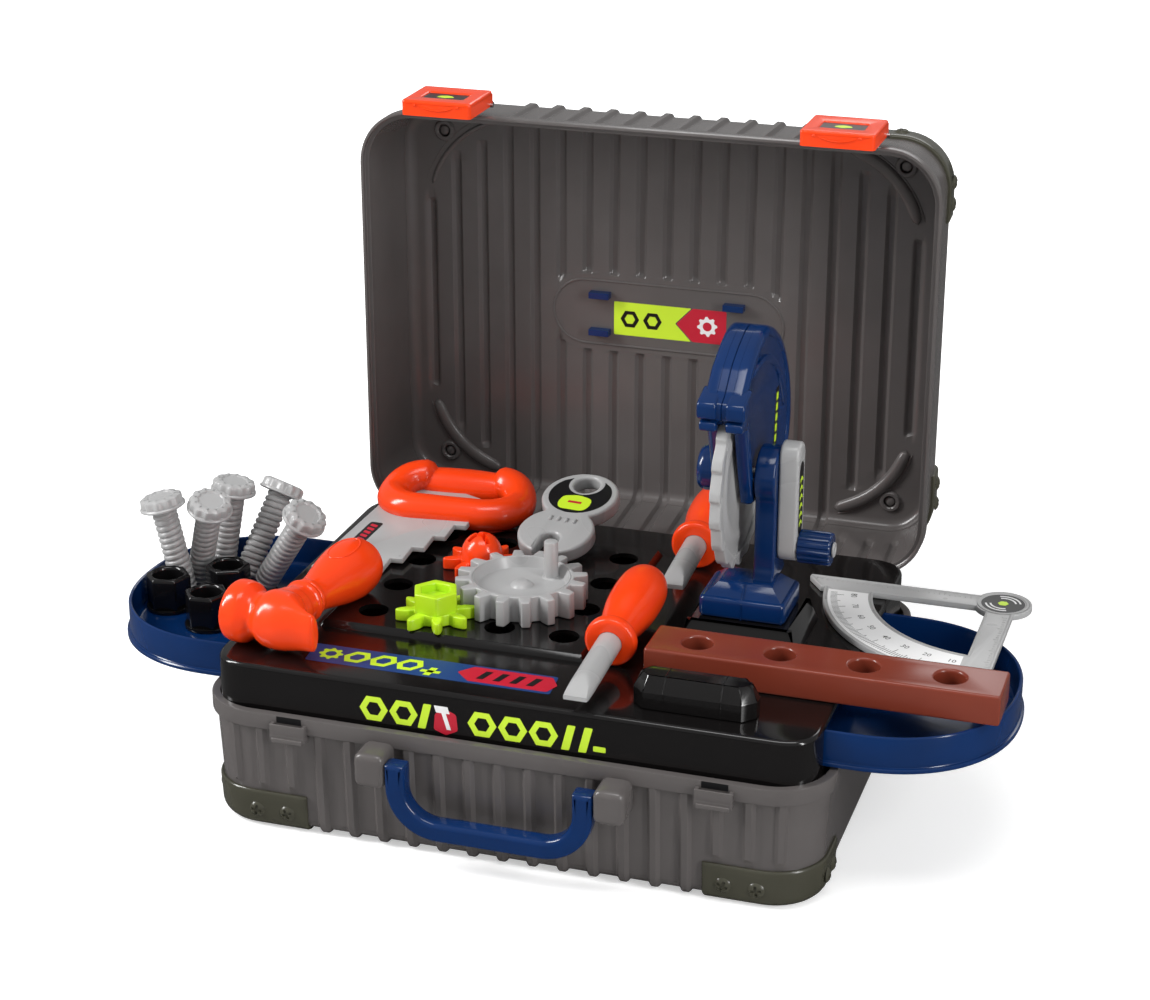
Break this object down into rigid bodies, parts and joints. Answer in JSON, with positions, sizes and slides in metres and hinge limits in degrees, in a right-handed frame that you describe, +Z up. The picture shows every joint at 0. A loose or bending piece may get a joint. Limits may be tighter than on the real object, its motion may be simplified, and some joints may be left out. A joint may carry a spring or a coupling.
{
  "type": "toy tool box",
  "caption": "Open ribbed carry case with a toy workbench deck: cranked chop saw, meshing peg gears, hand tools, board, square, bolts and nuts, sliding side trays and a hinged lid.",
  "frame": {"origin": "middle of the case's underside, on the crests of the ribs it stands on", "axes": "+Z up, +X to the right, -Y towards the child who plays"},
  "size_m": [0.6137, 0.399, 0.4166],
  "materials": {
    "case_grey": "satin",
    "guard_olive": "satin",
    "deck_black": "gloss",
    "blue": "gloss",
    "orange": "gloss",
    "lime": "gloss",
    "tool_grey": "satin",
    "board_brown": "satin",
    "nut_black": "gloss"
  },
  "bodies": {
    "case": {"base_shell": "case_grey", "base_guard_front_left": "guard_olive", "base_guard_front_right": "guard_olive", "base_guard_rear_left": "guard_olive", "base_guard_rear_right": "guard_olive", "work_deck": "deck_black", "clamp_bar": "deck_black", "hinge_pin_left": "tool_grey", "hinge_pin_right": "tool_grey"},
    "lid": {"lid_shell": "case_grey", "lid_guard_front_left": "guard_olive", "lid_guard_front_right": "guard_olive", "lid_guard_rear_left": "guard_olive", "lid_guard_rear_right": "guard_olive", "lid_badge_plate": "blue", "latch_pin_left": "tool_grey", "latch_pin_right": "tool_grey"},
    "left_latch": {"latch_left": "orange"},
    "right_latch": {"latch_right": "orange"},
    "handle": {"carry_handle": "blue"},
    "left_tray": {"side_tray_left": "blue"},
    "right_tray": {"side_tray_right": "blue"},
    "chop_saw": {"saw_base": "blue", "saw_head_left": "blue", "saw_head_right": "blue"},
    "saw_spindle": {"saw_blade": "tool_grey", "saw_axle": "tool_grey", "crank_arm": "tool_grey", "knob_pin": "tool_grey"},
    "saw_knob": {"crank_knob": "blue"},
    "large_gear": {"crank_gear": "tool_grey"},
    "lime_gear": {"hex_gear": "lime"},
    "orange_gear": {"dome_gear": "orange"},
    "hammer": {"hammer_head": "orange", "hammer_grip": "orange"},
    "hand_saw": {"hand_saw_blade": "tool_grey", "hand_saw_grip": "orange"},
    "spanner": {"wrench": "tool_grey"},
    "driver_1": {"driver_1_handle": "orange", "driver_1_shaft": "tool_grey"},
    "driver_2": {"driver_2_handle": "orange", "driver_2_shaft": "tool_grey"},
    "plank": {"board": "board_brown"},
    "square": {"protractor_square": "tool_grey"},
    "loose_bolt_1": {"bolt_1": "tool_grey"},
    "loose_bolt_2": {"bolt_2": "tool_grey"},
    "loose_bolt_3": {"bolt_3": "tool_grey"},
    "loose_bolt_4": {"bolt_4": "tool_grey"},
    "loose_bolt_5": {"bolt_5": "tool_grey"},
    "loose_nut_1": {"nut_1": "nut_black"},
    "loose_nut_2": {"nut_2": "nut_black"},
    "loose_nut_3": {"nut_3": "nut_black"}
  },
  "joints": [
    {"name": "lid_hinge", "type": "hinge", "parent": "case", "child": "lid", "pos_m": [0, 0.1575, 0.092], "axis": [-1, 0, 0], "range_deg": [-35, 0]},
    {"name": "left_latch_pivot", "type": "hinge", "parent": "lid", "child": "left_latch", "pos_m": [-0.139, 0.168, 0.407], "axis": [1, 0, 0], "range_deg": [-100, 0]},
    {"name": "right_latch_pivot", "type": "hinge", "parent": "lid", "child": "right_latch", "pos_m": [0.139, 0.168, 0.407], "axis": [1, 0, 0], "range_deg": [-100, 0]},
    {"name": "handle_pivot", "type": "hinge", "parent": "case", "child": "handle", "pos_m": [0, -0.1655, 0.066], "axis": [1, 0, 0], "range_deg": [-100, 0]},
    {"name": "left_tray_slide", "type": "slide", "parent": "case", "child": "left_tray", "axis": [1, 0, 0], "range_m": [0, 0.01]},
    {"name": "right_tray_slide", "type": "slide", "parent": "case", "child": "right_tray", "axis": [-1, 0, 0], "range_m": [0, 0.09]},
    {"name": "chop_saw_lift", "type": "slide", "parent": "case", "child": "chop_saw", "axis": [0, 0, 1], "range_m": [0, 0.28]},
    {"name": "blade_spin", "type": "hinge", "parent": "chop_saw", "child": "saw_spindle", "pos_m": [0.108, 0.0135, 0.2203], "axis": [1, 0, 0], "continuous": true},
    {"name": "knob_spin", "type": "hinge", "parent": "saw_spindle", "child": "saw_knob", "pos_m": [0.108, 0.0135, 0.1733], "axis": [1, 0, 0], "continuous": true},
    {"name": "large_gear_spin", "type": "hinge", "parent": "case", "child": "large_gear", "pos_m": [-0.033, -0.0075, 0.1183], "axis": [0, 0, 1], "continuous": true},
    {"name": "lime_gear_spin", "type": "hinge", "parent": "case", "child": "lime_gear", "pos_m": [-0.077, -0.0515, 0.1183], "axis": [0, 0, 1], "continuous": true},
    {"name": "orange_gear_spin", "type": "hinge", "parent": "case", "child": "orange_gear", "pos_m": [-0.077, 0.0365, 0.1183], "axis": [0, 0, 1], "continuous": true},
    {"name": "hammer_lift", "type": "slide", "parent": "case", "child": "hammer", "axis": [0, 0, 1], "range_m": [0, 0.28]},
    {"name": "hand_saw_lift", "type": "slide", "parent": "case", "child": "hand_saw", "axis": [0, 0, 1], "range_m": [0, 0.015]},
    {"name": "spanner_lift", "type": "slide", "parent": "case", "child": "spanner", "axis": [0, 0, 1], "range_m": [0, 0.28]},
    {"name": "driver_1_lift", "type": "slide", "parent": "case", "child": "driver_1", "axis": [0, 0, 1], "range_m": [0, 0.28]},
    {"name": "driver_2_lift", "type": "slide", "parent": "case", "child": "driver_2", "axis": [0, 0, 1], "range_m": [0, 0.2]},
    {"name": "plank_lift", "type": "slide", "parent": "case", "child": "plank", "axis": [0, -0.0995, 0.995], "range_m": [0, 0.28]},
    {"name": "square_lift", "type": "slide", "parent": "case", "child": "square", "axis": [0, 0, 1], "range_m": [0, 0.28]},
    {"name": "bolt_1_lift", "type": "slide", "parent": "left_tray", "child": "loose_bolt_1", "axis": [-0.196, -0.0294, 0.9802], "range_m": [0, 0.1]},
    {"name": "bolt_2_lift", "type": "slide", "parent": "left_tray", "child": "loose_bolt_2", "axis": [0.2812, -0.2062, 0.9372], "range_m": [0, 0.1]},
    {"name": "bolt_3_lift", "type": "slide", "parent": "left_tray", "child": "loose_bolt_3", "axis": [0.1576, 0.069, 0.9851], "range_m": [0, 0.04]},
    {"name": "bolt_4_lift", "type": "slide", "parent": "left_tray", "child": "loose_bolt_4", "axis": [0.2491, 0.4983, 0.8305], "range_m": [0, 0.1]},
    {"name": "bolt_5_lift", "type": "slide", "parent": "left_tray", "child": "loose_bolt_5", "axis": [0.5359, -0.1088, 0.8373], "range_m": [0, 0.1]},
    {"name": "nut_1_lift", "type": "slide", "parent": "left_tray", "child": "loose_nut_1", "axis": [0, 0, 1], "range_m": [0, 0.02]},
    {"name": "nut_2_lift", "type": "slide", "parent": "left_tray", "child": "loose_nut_2", "axis": [0, 0, 1], "range_m": [0, 0.01]},
    {"name": "nut_3_lift", "type": "slide", "parent": "left_tray", "child": "loose_nut_3", "axis": [0, 0, 1], "range_m": [0, 0.02]}
  ],
  "couplings": [
    {"joint": "lime_gear_spin", "follows": "large_gear_spin", "ratio": -2},
    {"joint": "orange_gear_spin", "follows": "large_gear_spin", "ratio": -2}
  ]
}
